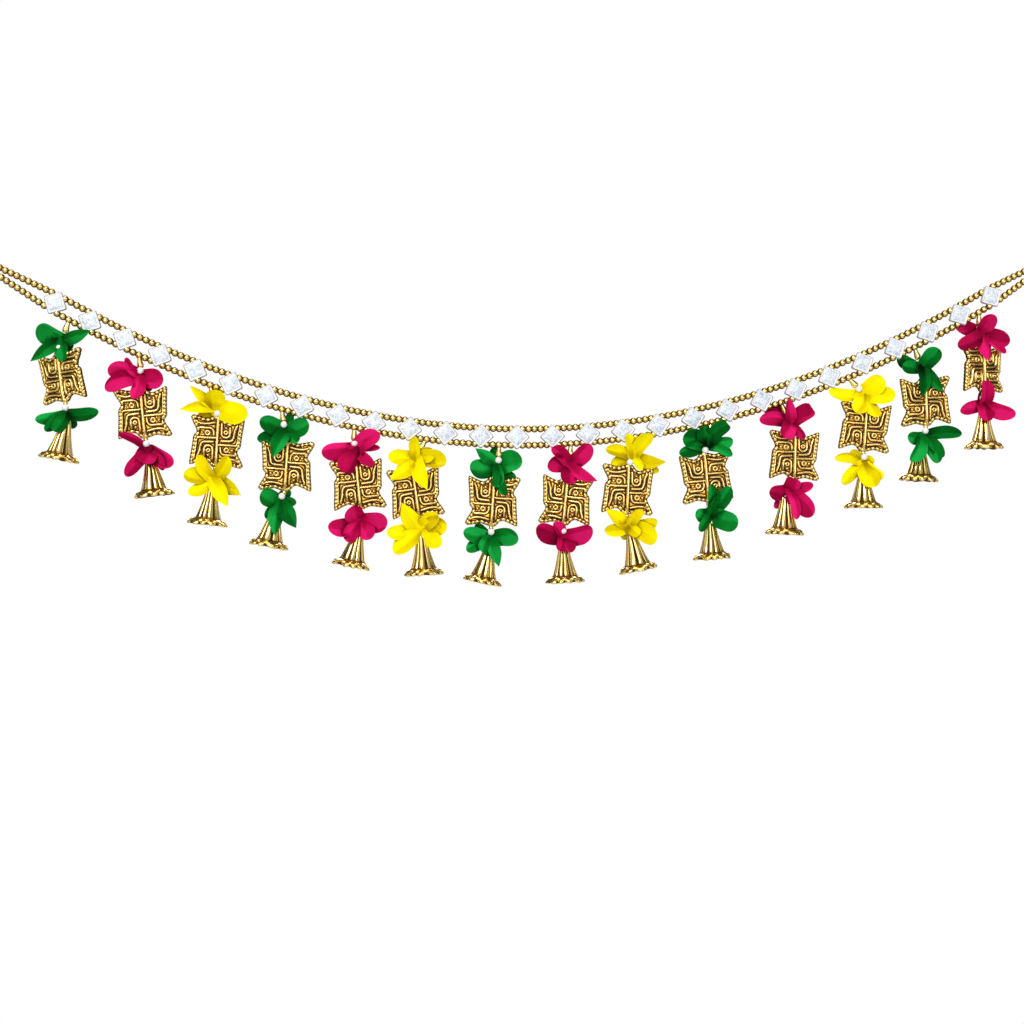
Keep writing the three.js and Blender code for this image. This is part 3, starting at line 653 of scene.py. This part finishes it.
def charm_pattern():
    """The charm's grid of points across and up, its height over the grid, and its recess value: painted
    shade in the cuts, a painted highlight on the raised lines.
    """
    cells = CHARM.cells
    top = smooth_line(CHARM_TOP, cells + 1)
    right = smooth_line(CHARM_RIGHT, cells + 1)
    bottom = -top[::-1]
    u, v = np.meshgrid(np.linspace(0, 1, cells + 1), np.linspace(0, 1, cells + 1), indexing="ij")
    t, b = top[:, None, :], bottom[:, None, :]
    r, l = right[::-1][None, :, :], -right[None, :, :]
    uu, vv = u[..., None], v[..., None]
    corners = ((1 - uu) * (1 - vv) * bottom[0] + uu * (1 - vv) * bottom[-1]
               + (1 - uu) * vv * top[0] + uu * vv * top[-1])
    flat = ((1 - vv) * b + vv * t + (1 - uu) * l + uu * r - corners).reshape(-1, 2)
    outline = np.concatenate([top, right[1:], -top[1:], -right[1:]])
    inside, round_at = distance_to(flat, outline)
    raised = np.zeros(len(flat))
    cut = np.zeros(len(flat))
    small_cut, thin = CHARM.small_cut, CHARM.small_cut_thin
    for sign in (1, -1):
        for line in CHARM_LINES:
            ridge = sign * smooth_line(line, 30)
            gap, _ = distance_to(flat, ridge)
            raised = np.maximum(raised, dome(gap, CHARM.line_half))
            cut = np.maximum(cut, dome(gap - CHARM.cut_at, CHARM.cut_thin))
            gap, _ = distance_to(flat, ridge + np.array(CHARM.cut_shift))
            cut = np.maximum(cut, dome(gap, CHARM.cut_half))
        for x, z, radius in CHARM_RINGS:
            gap = np.abs(np.linalg.norm(flat - sign * np.array([x, z]), axis=1) - radius)
            raised = np.maximum(raised, dome(gap, CHARM.ring_half))
            cut = np.maximum(cut, small_cut * dome(gap - CHARM.ring_cut_at, thin))
        for x, z in CHARM_DOTS:
            gap = np.linalg.norm(flat - sign * np.array([x, z]), axis=1)
            raised = np.maximum(raised, dome(gap, CHARM.dot_half))
            cut = np.maximum(cut, small_cut * dome(gap - CHARM.dot_cut_at, thin))
    from_rib = np.abs(flat[:, 0])
    rib = dome(from_rib, CHARM.rib_half)
    beside_rib = dome(from_rib - CHARM.rib_cut_at, CHARM.rib_cut_half)
    from_bead = (round_at / CHARM.bead_pitch) % 1 - 0.5
    to_bead = np.hypot(inside - CHARM.bead_middle, from_bead * CHARM.bead_pitch)
    rope = dome(to_bead, CHARM.bead_half)
    border = smooth_step(*CHARM.border, inside)
    moat = dome(inside - CHARM.moat_at, CHARM.moat_half) * smooth_step(*CHARM.moat_from_rib, from_rib)
    raised = np.maximum(raised * (1 - border), border * rope)
    cut = np.maximum(cut * (1 - border), np.maximum(moat, beside_rib * (1 - border)))
    cut = np.maximum(cut, border * (1 - rope) * CHARM.between_beads)
    raised = np.where(rib > 0, np.maximum(raised, CHARM.rib_high * rib), raised)
    cut = cut * (1 - np.minimum(raised * CHARM.line_fills, 1))
    height = CHARM.line_high * raised - CHARM.cut_deep * cut
    # Painted highlight on the raised lines, and painted shade in the cuts, the moat and between the beads.
    bright = CHARM.line_bright * np.minimum(raised * CHARM.bright_by, 1)
    recess = np.clip(CHARM.ground + CHARM.cut_dark * cut - bright, 0, 1)
    return flat, height, recess, inside


def make_charm(name, drop, chain, pattern, gold):
    flat, height, recess, inside = pattern
    side = 1 if drop["hooks"] == "left" else -1
    rounding = CHARM.edge_round * np.sqrt(np.clip(inside / CHARM.round_over, 0, 1))
    puff = CHARM.edge_half + rounding + CHARM.puff * smooth_step(0, CHARM.puff_over, inside)
    on_rim = inside < 1e-4
    front = -(puff + np.where(on_rim, 0, height))
    back = -front
    rib_down = CHARM_HEIGHT / 2
    turn = math.radians(drop["turn"])
    right, down = along(math.radians(drop["charm"]))

    def placed(across, depth):
        x = across * math.cos(turn) - depth * math.sin(turn)
        y = across * math.sin(turn) + depth * math.cos(turn)
        points = chain["charm_top"] + np.outer(x, right) + np.outer(rib_down - flat[:, 1], down)
        points[:, 1] += y
        return points

    pile = Pile()
    across = side * CHARM.across * flat[:, 0]
    points = np.concatenate([placed(across, front), placed(across, back)])
    rows = CHARM.cells + 1
    faces = grid_faces(rows, rows)
    total = rows * rows
    back_faces = [tuple(i + total for i in reversed(face)) for face in faces]
    ring = rim_of(rows, rows)
    walls = [(ring[i - 1] + total, ring[i] + total, ring[i], ring[i - 1]) for i in range(len(ring))]
    made = faces + back_faces + walls
    pile.add(points, made if side < 0 else [face[::-1] for face in made], np.concatenate([recess] * 2))
    low_rod = [(CHARM_HEIGHT - d, r) for d, r in reversed(ROD)]
    for profile in (ROD, low_rod):
        rod_points, rod_faces = turned(profile, 16, chain["charm_top"], drop["charm"])
        pile.add(rod_points, rod_faces, ROD_SHADE)
    pile.piece(name, gold, "gold", [name])


BELL_OUTSIDE = [
    (0, 1.4), (0.1, 2.6), (0.8, 3.5), (2.2, 4.2), (5, 4.8), (8, 5.3), (11, 5.9), (14, 6.5), (17, 7.2),
    (20, 8), (23, 8.8), (26, 9.7), (28.5, 10.5), (29.9, 11), (30.7, 11.4), (31.2, 11.8), (31.6, 12.8),
    (32.1, 14), (32.7, 15.1), (33.4, 16), (34.2, 16.7), (35.1, 17.2), (36, 17.4), (36.8, 17.1), (37.4, 16.3),
]
BELL_INSIDE = [
    (37.2, 15.6), (36, 14.9), (34.5, 13.7), (33, 12), (31, 10.2), (28, 8.9), (25, 8), (21, 6.7),
    (17, 5.3), (14.6, 2.6),
]
# Depths are shares of the radius. The flutes fade in below the crown, and end where the rim begins. The rim
# is two rows of knobs, and its lip waves. inner_end is how far down the hollow's top is.
BELL = Values(
    flutes=9, flute_deep=0.2, flute_power=0.55, flute_level=0.8, crown=(0.5, 3), uneven=0.14,
    scallops=11, sides=132, rim_from=31.3, rim_soft=0.6, upper_row=32.9, row_pitch=2.8,
    knob_deep=0.13, knob_level=0.6, wave=1.6, wave_over=(33, 36), turn_each=1.3,
    inner_end=14.4,
)
# The bell's painted shade: how dark it is in the cuts between its flutes, at its neck, between the knobs and
# inside.
BELL_SHADE = Values(
    crown=(0.5, 2), flute=(0.5, 0.22), rim_soft=0.3, neck=0.85, neck_over=(0.8, 0.25),
    rim_full=1.2, holes=0.8, hole=(0.3, 0.08), rows=0.3, rows_over=(0.6, 0.2),
    inside=0.75, caps=(0.6, 0.9),
)


def bell_flute(angles):
    """1 on a flute's ridge, falling to 0 in the narrow cut beside it."""
    return np.abs(np.cos(BELL.flutes * angles / 2))


def bell_frill(distance, angles):
    """The gathered rim: two rows of knobs, of sizes that vary round it. 1 on a knob, 0 in a hollow."""
    shift = 0.5 * np.sin(3 * angles + 0.7) + 0.35 * np.sin(5 * angles + 2)
    down = math.cos(math.pi * np.clip((distance - BELL.upper_row) / BELL.row_pitch, 0, 1))
    return 0.5 + 0.5 * np.cos(BELL.scallops * angles + shift) * down


def bell_swell(distance, angles):
    """How far the bell's wall stands out or in: flutes down its length, and knobs at its rim."""
    rim_from, soft = BELL.rim_from, BELL.rim_soft
    body = smooth_step(*BELL.crown, distance) * smooth_step(rim_from + soft, rim_from - soft, distance)
    flute = bell_flute(angles) ** BELL.flute_power - BELL.flute_level
    rim = smooth_step(rim_from, rim_from + 1, distance)
    knobs = bell_frill(distance, angles) - BELL.knob_level
    return 1 + BELL.flute_deep * body * flute + rim * BELL.knob_deep * knobs


# Painted shade on the bell's outside: in the cuts between flutes, at the neck, round the rim's knobs and
# between its rows.
def bell_recess(distance, angles):
    rim_from, soft = BELL.rim_from, BELL_SHADE.rim_soft
    body = smooth_step(*BELL_SHADE.crown, distance) * smooth_step(rim_from + soft, rim_from - soft, distance)
    wall = smooth_step(*BELL_SHADE.flute, bell_flute(angles)) * body
    neck = smooth_step(*BELL_SHADE.neck_over, abs(distance - rim_from)) * BELL_SHADE.neck
    rim = smooth_step(rim_from + soft, rim_from + BELL_SHADE.rim_full, distance)
    holes = BELL_SHADE.holes * smooth_step(*BELL_SHADE.hole, bell_frill(distance, angles)) * rim
    from_rows = abs(distance - BELL.upper_row - BELL.row_pitch / 2)
    between = BELL_SHADE.rows * smooth_step(*BELL_SHADE.rows_over, from_rows)
    return np.maximum(np.maximum(wall, neck), np.maximum(holes, between))


def make_bell(name, drop, chain, gold, turn):
    sides = BELL.sides
    angles = np.arange(sides) * 2 * math.pi / sides
    look = angles + turn + BELL.uneven * np.sin(3 * angles + 2 * turn)
    profile = BELL_OUTSIDE + BELL_INSIDE
    edge = len(BELL_OUTSIDE)
    right, down = along(math.radians(drop["bell"]))
    rows, values = [], []
    for step, (distance, radius) in enumerate(profile):
        outer = step < edge
        swell = bell_swell(distance, look) if outer else np.ones(sides)
        wave = 0.5 + 0.5 * np.sin(4 * look + turn) * np.cos(7 * look)
        share = BELL.wave * smooth_step(*BELL.wave_over, distance)
        frill = 0.5 * share * (bell_frill(distance, look) + wave - 1)
        ring = chain["bell_top"] + np.outer(distance + frill, down)
        ring = ring + np.outer(radius * swell * np.cos(angles), right)
        ring[:, 1] += radius * swell * np.sin(angles)
        rows.append(ring)
        # The hollow inside is painted dark as shade.
        values.append(bell_recess(distance, look) if outer else np.full(sides, BELL_SHADE.inside))
    points, faces = capped(rows, [chain["bell_top"], chain["bell_top"] + BELL.inner_end * down])
    pile = Pile()
    pile.add(points, faces, np.concatenate(values + [BELL_SHADE.caps]))
    pile.piece(name, gold, "gold", [name])


PLY = Values(count=3, turns=13, radius=0.62, spiral=0.6, steps=168, sides=7)
KNOT = Values(proud=0.15, longer=0.2, steps=36, sides=20, end=0.02, ripple=0.09, ripples=4.5)


def make_loop(name, side, cord):
    """A hanging loop: three plies of thread twisted round an oval, and the wrapped knot that closes it."""
    place = tail_frame(side, TAIL[side] + LOOP_CENTRE_AT)
    middle = in_part(place)
    right, down = along(place["angle"])
    steps, sides = PLY.steps, PLY.sides
    pile = Pile()
    around = np.arange(steps) * 2 * math.pi / steps
    for ply in range(PLY.count):
        twist = PLY.turns * around + ply * 2 * math.pi / PLY.count
        out = LOOP.radius + PLY.spiral * np.cos(twist)
        lift = PLY.spiral * np.sin(twist)
        rows = []
        for a, radius, y in zip(around, out, lift):
            centre = middle + radius * (LOOP.stretch * math.cos(a) * right - math.sin(a) * down)
            centre[1] += y
            outward = math.cos(a) * right - math.sin(a) * down
            for s in range(sides):
                b = s * 2 * math.pi / sides
                towards = math.cos(b) * outward + math.sin(b) * np.array([0, 1, 0])
                rows.append(centre + PLY.radius * towards)
        skin = grid_faces(steps + 1, sides, closed=True)
        pile.add(rows, [tuple(i % len(rows) for i in face) for face in skin])
    knot = in_part(tail_frame(side, TAIL[side] + LOOP_KNOT_AT))
    profile = []
    for step in range(KNOT.steps + 1):
        t = -1 + 2 * step / KNOT.steps
        radius = (LOOP.knot + KNOT.proud) * math.sqrt(max(1 - t * t, KNOT.end))
        wrapped = 1 + KNOT.ripple * math.cos(t * KNOT.ripples * math.pi)
        profile.append((t * (LOOP.knot + KNOT.longer), radius * wrapped))
    pile.add(*turned(profile, KNOT.sides, knot, math.degrees(place["angle"]) + 90))
    pile.piece(name, cord, "loop_cord", [name])


def feed(tree, node, inputs):
    """Sets each named input of a node to a value, or links it to another node's output."""
    for name, value in inputs.items():
        if isinstance(value, bpy.types.NodeSocket):
            tree.links.new(value, node.inputs[name])
        else:
            node.inputs[name].default_value = value


def add_node(tree, kind, inputs, **settings):
    node = tree.nodes.new("ShaderNode" + kind)
    for name, value in settings.items():
        setattr(node, name, value)
    feed(tree, node, inputs)
    return node


def ramp(tree, value, stops):
    node = add_node(tree, "ValToRGB", {"Fac": value})
    elements = node.color_ramp.elements
    while len(elements) < len(stops):
        elements.new(0.5)
    for element, (position, colour) in zip(elements, stops):
        element.position = position
        element.color = (*colour, 1)
    return node.outputs["Color"]


def object_place(tree):
    return add_node(tree, "TexCoord", {}).outputs["Object"]


def noise(tree, scale, detail):
    inputs = {"Scale": scale, "Detail": detail, "Vector": object_place(tree)}
    return add_node(tree, "TexNoise", inputs).outputs["Fac"]


def scaled(tree, value, low, high):
    return add_node(tree, "MapRange", {"To Min": low, "To Max": high, "Value": value}).outputs["Result"]


def calculated(tree, operation, *values):
    return add_node(tree, "Math", dict(enumerate(values)), operation=operation).outputs["Value"]


def bump(tree, height, strength, distance):
    inputs = {"Strength": strength, "Distance": distance, "Height": height}
    return add_node(tree, "Bump", inputs).outputs["Normal"]


def recess_value(tree):
    return add_node(tree, "Attribute", {}, attribute_name="recess").outputs["Fac"]


def new_material(name):
    material = bpy.data.materials.new(name)
    material.use_nodes = True
    return material, material.node_tree, material.node_tree.nodes["Principled BSDF"]


def gold_material():
    """Metallised plastic, with painted highlight on its ridges and painted shade, nearly black brown, in its
    recesses.
    """
    material, tree, shader = new_material("gold_with_painted_shade")
    recess = recess_value(tree)
    # A little random mottle over the recess value's painted shade.
    patina_and_shade = calculated(tree, "MULTIPLY_ADD", noise(tree, 260, 5), 0.08, recess)
    feed(tree, shader, {
        "Base Color": ramp(tree, calculated(tree, "SUBTRACT", patina_and_shade, 0.05), [
            (0.0, (1.0, 0.79, 0.3)), (0.14, (0.95, 0.61, 0.13)), (0.3, (0.79, 0.43, 0.05)),
            (0.5, (0.38, 0.19, 0.025)), (0.75, (0.09, 0.038, 0.007)), (1.0, (0.01, 0.004, 0.002)),
        ]),
        "Roughness": scaled(tree, recess, 0.13, 0.5),
        "Metallic": scaled(tree, recess, 1.0, 0.6),
        "Normal": bump(tree, noise(tree, 900, 3), 0.05, 0.0002),
    })
    return material


def stone_material():
    """Clear plastic over crinkled silver foil. The recess value is 0 outside, where painted shade greys the
    sides, 0.5 on the rim, 1 on foil.
    """
    material, tree, shader = new_material("foil_stone")
    level = recess_value(tree)
    crinkle = add_node(tree, "TexVoronoi", {"Scale": 520, "Vector": object_place(tree)}).outputs["Distance"]
    inputs = {"Factor": 0.55, "A": crinkle, "B": noise(tree, 210, 3)}
    foil = ramp(tree, add_node(tree, "Mix", inputs, data_type="FLOAT").outputs["Result"], [
        (0.26, (0.36, 0.44, 0.58)), (0.4, (0.58, 0.66, 0.77)), (0.58, (0.8, 0.83, 0.87)),
    ])
    # The grey outside is painted shade; the rim is near white, and the foil is crinkled silver.
    rim = ramp(tree, level, [
        (0.0, (0.46, 0.43, 0.41)), (0.35, (0.66, 0.65, 0.65)), (0.5, (0.87, 0.88, 0.89)),
    ])
    over_foil = add_node(tree, "MapRange", {"From Min": 0.55, "Value": level}).outputs["Result"]
    tint = add_node(tree, "Mix", {"Factor": over_foil, "A": rim, "B": foil}, data_type="RGBA")
    feed(tree, shader, {
        "Base Color": tint.outputs["Result"],
        "Metallic": scaled(tree, over_foil, 0.0, 0.12),
        "Roughness": 0.45, "Coat Weight": 0.35, "Coat Roughness": 0.1,
        "Normal": bump(tree, crinkle, 0.3, 0.0005),
    })
    return material


def pearl_material():
    """White pearl lustre, darkened by painted shade round the thread's holes."""
    material, tree, shader = new_material("white_pearl")
    feed(tree, shader, {
        "Base Color": ramp(tree, recess_value(tree), [
            (0.0, (0.93, 0.925, 0.915)), (0.7, (0.82, 0.8, 0.77)), (1.0, (0.25, 0.2, 0.15)),
        ]),
        "Roughness": scaled(tree, noise(tree, 400, 2), 0.14, 0.26),
        "Coat Weight": 0.5, "Sheen Weight": 0.15,
    })
    return material


def petal_material(name, light, body, dark):
    """Flocked cloth with a fine nap, darkened by painted shade where petals meet. The recess value is 1
    where it is darkest.
    """
    material, tree, shader = new_material(name)
    mottle = scaled(tree, noise(tree, 120, 3), -0.12, 0.12)
    shade = calculated(tree, "ADD", recess_value(tree), mottle)
    feed(tree, shader, {
        "Base Color": ramp(tree, shade, [(0.0, light), (0.35, body), (1.0, dark)]),
        "Roughness": 0.85, "Specular IOR Level": 0.04,
        "Sheen Weight": 0.02, "Sheen Roughness": 0.5, "Sheen Tint": (*light, 1),
        "Normal": bump(tree, noise(tree, 1900, 6), 0.3, 0.0002),
    })
    return material


def cord_material():
    """Golden thread with its fibres."""
    material, tree, shader = new_material("gold_thread")
    inputs = {"Scale": 700, "Distortion": 3, "Vector": object_place(tree)}
    fibre = add_node(tree, "TexWave", inputs).outputs["Fac"]
    feed(tree, shader, {
        "Base Color": ramp(tree, fibre, [
            (0.0, (0.3, 0.18, 0.03)), (0.6, (0.62, 0.43, 0.1)), (1.0, (0.85, 0.66, 0.25)),
        ]),
        "Roughness": 0.55, "Sheen Weight": 0.3,
        "Normal": bump(tree, fibre, 0.4, 0.0002),
    })
    return material


# A colour's light, middle and darkest shade.
PETAL_TINTS = {
    "green": ((0.008, 0.36, 0.055), (0.001, 0.16, 0.014), (0.0, 0.01, 0.001)),
    "magenta": ((0.76, 0.01, 0.15), (0.45, 0.002, 0.06), (0.06, 0.0002, 0.008)),
    "yellow": ((1.0, 0.9, 0.001), (0.93, 0.76, 0.0), (0.34, 0.21, 0.0)),
}


# The camera stands where the photograph was taken from: level, and a little left of square. It looks at
# x and z in the arc's own frame. clip_end is in metres.
CAMERA = Values(x=-7.2, z=-68.6, azimuth=-5, distance=1500, lens=57.54, sensor=36, clip_end=50)


def make_camera():
    data = bpy.data.cameras.new("camera")
    data.sensor_width = CAMERA.sensor
    data.lens = CAMERA.lens
    data.clip_end = CAMERA.clip_end
    camera = new_object("camera", data)
    target = Vector(((CAMERA.x - HANG_POINT["x"]) * MM, 0, (CAMERA.z - HANG_POINT["z"]) * MM))
    a = math.radians(CAMERA.azimuth)
    back = Vector((math.sin(a), -math.cos(a), 0))
    camera.location = target + back * CAMERA.distance * MM
    camera.rotation_euler = (-back).to_track_quat("-Z", "Y").to_euler()
    bpy.context.scene.camera = camera
    return target


# Soft boxes: place from the point that the camera looks at, width and height in metres, power in watts.
LIGHTS = [
    ("key", (-1.1, -1.9, 1.5), (0.9, 0.7), 20),
    ("fill", (1.5, -1.7, 0.3), (0.5, 0.9), 4),
    ("top", (0.1, -0.3, 2.1), (1.6, 0.5), 8),
    ("back", (0.2, 1.9, 1.2), (1.6, 0.8), 14),
]


def make_lights(target):
    for name, place, size, power in LIGHTS:
        data = bpy.data.lights.new(name, "AREA")
        data.shape = "RECTANGLE"
        data.size, data.size_y = size
        data.energy = power
        lamp = new_object(name, data)
        lamp.location = target + Vector(place)
        lamp.rotation_euler = (target - lamp.location).to_track_quat("-Z", "Y").to_euler()


# What shines reflects a dark room with these bright walls: direction, the cosine at which each begins and
# is full, and its brightness.
WALLS = [
    ((-0.1, -1, 0.15), 0.4, 0.62, 0.4),
    ((-0.12, -1, 0.18), 0.88, 0.95, 1.9),
    ((0, -0.15, 1), 0.84, 0.93, 1.0),
    ((-1, 0, 0.15), 0.88, 0.95, 0.7),
    ((1, 0, 0.15), 0.88, 0.95, 0.6),
    ((0.1, 1, 0.2), 0.84, 0.93, 1.5),
]
ROOM = (0.055, 0.048, 0.04)


def make_world():
    """White to the eye, and a dark room with bright walls to what shines."""
    world = bpy.data.worlds.new("studio")
    bpy.context.scene.world = world
    world.use_nodes = True
    tree = world.node_tree
    tree.nodes.clear()
    where = add_node(tree, "TexCoord", {}).outputs["Generated"]
    total = 0.0
    for towards, begins, full, bright in WALLS:
        inputs = {0: where, 1: Vector(towards).normalized()}
        facing = add_node(tree, "VectorMath", inputs, operation="DOT_PRODUCT").outputs["Value"]
        inputs = {"From Min": begins, "From Max": full, "To Max": bright, "Value": facing}
        spread = add_node(tree, "MapRange", inputs, interpolation_type="SMOOTHSTEP")
        total = calculated(tree, "ADD", total, spread.outputs["Result"])
    inputs = {"Factor": 1, "A": (*ROOM, 1), "B": total}
    room = add_node(tree, "Mix", inputs, data_type="RGBA", blend_type="ADD")
    studio = add_node(tree, "Background", {"Color": room.outputs["Result"]})
    white = add_node(tree, "Background", {"Color": (1, 1, 1, 1)})
    eye = add_node(tree, "LightPath", {}).outputs["Is Camera Ray"]
    mix = add_node(tree, "MixShader", {
        "Fac": eye, 1: studio.outputs["Background"], 2: white.outputs["Background"],
    })
    add_node(tree, "OutputWorld", {"Surface": mix.outputs["Shader"]})


# Metres. The floor ends short of where the photograph's view would meet it.
FLOOR = Values(radius=3.3, below=1.6, sides=144)


def make_floor(target):
    """A pale round floor, well below the hanging."""
    angles = np.arange(FLOOR.sides) * 2 * math.pi / FLOOR.sides
    x = target.x + FLOOR.radius * np.cos(angles)
    y = FLOOR.radius * np.sin(angles)
    z = np.full(len(angles), target.z - FLOOR.below)
    mesh = bpy.data.meshes.new("floor")
    mesh.from_pydata(np.stack([x, y, z], 1).tolist(), [], [tuple(range(len(angles)))])
    material, tree, shader = new_material("pale_floor")
    pale = ramp(tree, noise(tree, 3, 2), [(0.3, (0.94, 0.94, 0.94)), (0.7, (0.97, 0.97, 0.97))])
    feed(tree, shader, {"Base Color": pale, "Roughness": 0.8})
    mesh.materials.append(material)
    new_object("floor", mesh)


target = make_camera()
make_lights(target)
make_world()
make_floor(target)
bpy.context.scene.view_settings.view_transform = "Standard"

gold = gold_material()
chains = [chain_of(drop, number) for number, drop in enumerate(DROPS)]
make_strands(gold)
make_stones(stone_material())
make_threads(chains, gold, pearl_material())
petals = {colour: petal_material("petal_" + colour, *tints) for colour, tints in PETAL_TINTS.items()}
pattern = charm_pattern()
for number, (drop, chain) in enumerate(zip(DROPS, chains)):
    tag = f"{number + 1:02d}"
    colour = COLOURS[number % len(COLOURS)]
    slot = "petal_" + colour
    cloth = petals[colour]
    make_flower("flower_top_" + tag, TOP_FLOWERS[number], chain["top_flower"], cloth, slot, number)
    make_charm("charm_" + tag, drop, chain, pattern, gold)
    seed = LOW_FLOWER_SEED + number
    make_flower("flower_low_" + tag, LOW_FLOWERS[number], chain["low_flower"], cloth, slot, seed)
    make_bell("bell_" + tag, drop, chain, gold, BELL.turn_each * number)
cord = cord_material()
make_loop("loop_left", -1, cord)
make_loop("loop_right", 1, cord)
